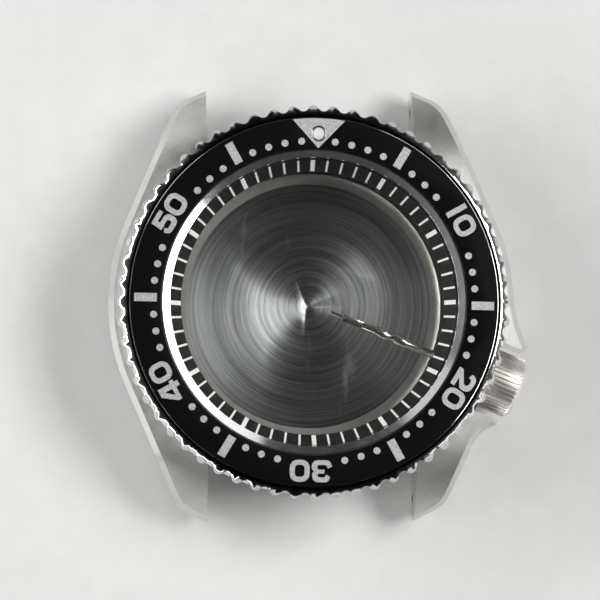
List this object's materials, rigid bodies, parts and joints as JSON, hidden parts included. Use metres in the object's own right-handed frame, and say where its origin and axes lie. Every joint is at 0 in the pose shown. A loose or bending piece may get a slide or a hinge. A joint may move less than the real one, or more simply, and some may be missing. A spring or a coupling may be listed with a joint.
{
  "type": "empty watch case",
  "caption": "Empty dive watch case: mid case with lugs, scalloped rotating bezel, crystal, chapter ring, screw-down crown with stem, screw case back.",
  "frame": {"origin": "centre of the case back's flat outer face", "axes": "+Z towards the crystal, +Y towards 12 o'clock, +X towards 3 o'clock"},
  "size_m": [0.0445, 0.046, 0.013],
  "materials": {
    "case_steel": "brushed tops, polished bevels",
    "polished_steel": "polished",
    "turned_steel": "fine concentric turning",
    "spring_steel": "ground",
    "insert_black": "matte black anodised",
    "ring_black": "matte",
    "mineral_glass": "clear, polished bevel",
    "nylon": "black nylon",
    "black_rubber": "matte",
    "adhesive_film": "film",
    "lume": "white luminous paint"
  },
  "bodies": {
    "case": {"mid_case": "case_steel", "crown_tube": "polished_steel", "crystal": "mineral_glass", "crystal_gasket": "nylon", "chapter_ring": "ring_black", "bezel_gasket": "black_rubber", "click_spring": "spring_steel"},
    "turning_bezel": {"bezel": "polished_steel", "bezel_insert": "insert_black", "insert_adhesive": "adhesive_film", "pip_cup": "polished_steel", "pip_lume": "lume"},
    "crown_pull_part": {"post_gasket": "black_rubber"},
    "stem": {"crown_post": "polished_steel", "winding_stem": "spring_steel"},
    "crown": {"crown_shell": "polished_steel", "crown_washer": "spring_steel", "crown_gasket": "black_rubber", "crown_spring": "spring_steel"},
    "back_gasket": {"case_back_gasket": "black_rubber"},
    "back": {"case_back": "turned_steel"}
  },
  "joints": [
    {"name": "bezel_turn", "type": "hinge", "parent": "case", "child": "turning_bezel", "pos_m": [0, 0, 0.0108], "axis": [0, 0, 1], "continuous": true, "deforming": ["click_spring"]},
    {"name": "crown_pull", "type": "slide", "parent": "case", "child": "crown_pull_part", "axis": [0.9239, -0.3827, 0], "range_m": [0, 0.0015]},
    {"name": "crown_unscrew", "type": "hinge", "parent": "crown_pull_part", "child": "stem", "pos_m": [0.01875, -0.00777, 0.0054], "axis": [0.9239, -0.3827, 0], "range_deg": [0, 1080]},
    {"name": "crown_back_off", "type": "slide", "parent": "stem", "child": "crown", "axis": [0.9239, -0.3827, 0], "range_m": [0, 0.0009], "deforming": ["crown_spring"]},
    {"name": "back_lower", "type": "slide", "parent": "case", "child": "back_gasket", "axis": [0, 0, -1], "range_m": [0, 0.00105]},
    {"name": "back_unscrew", "type": "hinge", "parent": "back_gasket", "child": "back", "pos_m": [0, 0, 0.001], "axis": [0, 0, -1], "range_deg": [0, 1080]}
  ],
  "couplings": [
    {"joint": "crown_unscrew", "follows": "crown_back_off", "rad_per_m": 20944},
    {"joint": "back_unscrew", "follows": "back_lower", "rad_per_m": 17952}
  ]
}
